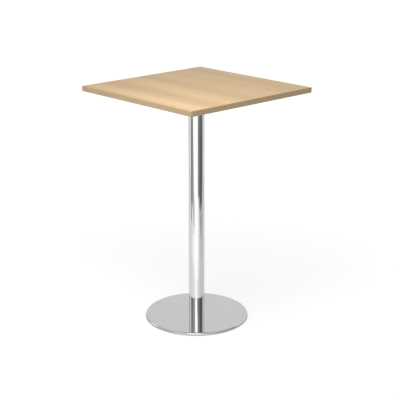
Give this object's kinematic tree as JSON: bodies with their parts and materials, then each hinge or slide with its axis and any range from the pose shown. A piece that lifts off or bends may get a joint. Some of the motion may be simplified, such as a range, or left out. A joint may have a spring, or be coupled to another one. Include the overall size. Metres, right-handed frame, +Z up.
{
  "type": "high table",
  "caption": "High table with a square wood-decor top on a round chromed column and a flat round base with levelling glides.",
  "frame": {"origin": "on the floor, under the column's axis", "axes": "+Z up, X and Y along the sides of the top, +X along the decor's grain"},
  "size_m": [0.75, 0.75, 1.14],
  "materials": {
    "decor_board": "satin melamine with a pale oak decor",
    "decor_band": "satin plastic edge band in the same decor",
    "chrome_plate": "bright chrome plating",
    "black_coated_steel": "fine-textured black powder coat",
    "bare_steel": "bare cut steel",
    "zinc_screw": "zinc plated",
    "glide_plastic": "matte moulded plastic"
  },
  "bodies": {
    "table": {"top_panel": "decor_board", "edge_band_front": "decor_band", "edge_band_right": "decor_band", "edge_band_back": "decor_band", "edge_band_left": "decor_band", "spider": "black_coated_steel", "spider_stiffener": "black_coated_steel", "spider_screws": "zinc_screw", "top_screws": "zinc_screw", "base_screws": "zinc_screw", "column_tube": "chrome_plate", "base_cover": "chrome_plate", "column_top_plate": "bare_steel", "column_bottom_plate": "bare_steel", "ballast_plate": "black_coated_steel"},
    "pad_1": {"glide_pad_1": "glide_plastic"},
    "stud_1": {"glide_stud_1": "zinc_screw"},
    "pad_2": {"glide_pad_2": "glide_plastic"},
    "stud_2": {"glide_stud_2": "zinc_screw"},
    "pad_3": {"glide_pad_3": "glide_plastic"},
    "stud_3": {"glide_stud_3": "zinc_screw"},
    "pad_4": {"glide_pad_4": "glide_plastic"},
    "stud_4": {"glide_stud_4": "zinc_screw"}
  },
  "joints": [
    {"name": "glide_1_travel", "type": "slide", "parent": "table", "child": "pad_1", "axis": [0, 0, -1], "range_m": [0, 0.004]},
    {"name": "glide_1_turn", "type": "hinge", "parent": "pad_1", "child": "stud_1", "pos_m": [0.15556, 0.15556, 0.001], "axis": [0, 0, -1], "range_deg": [0, 1150]},
    {"name": "glide_2_travel", "type": "slide", "parent": "table", "child": "pad_2", "axis": [0, 0, -1], "range_m": [0, 0.004]},
    {"name": "glide_2_turn", "type": "hinge", "parent": "pad_2", "child": "stud_2", "pos_m": [-0.15556, 0.15556, 0.001], "axis": [0, 0, -1], "range_deg": [0, 1150]},
    {"name": "glide_3_travel", "type": "slide", "parent": "table", "child": "pad_3", "axis": [0, 0, -1], "range_m": [0, 0.004]},
    {"name": "glide_3_turn", "type": "hinge", "parent": "pad_3", "child": "stud_3", "pos_m": [-0.15556, -0.15556, 0.001], "axis": [0, 0, -1], "range_deg": [0, 1150]},
    {"name": "glide_4_travel", "type": "slide", "parent": "table", "child": "pad_4", "axis": [0, 0, -1], "range_m": [0, 0.004]},
    {"name": "glide_4_turn", "type": "hinge", "parent": "pad_4", "child": "stud_4", "pos_m": [0.15556, -0.15556, 0.001], "axis": [0, 0, -1], "range_deg": [0, 1150]}
  ],
  "couplings": [
    {"joint": "glide_1_travel", "follows": "glide_1_turn", "m_per_rad": 0.00019894},
    {"joint": "glide_2_travel", "follows": "glide_2_turn", "m_per_rad": 0.00019894},
    {"joint": "glide_3_travel", "follows": "glide_3_turn", "m_per_rad": 0.00019894},
    {"joint": "glide_4_travel", "follows": "glide_4_turn", "m_per_rad": 0.00019894}
  ]
}
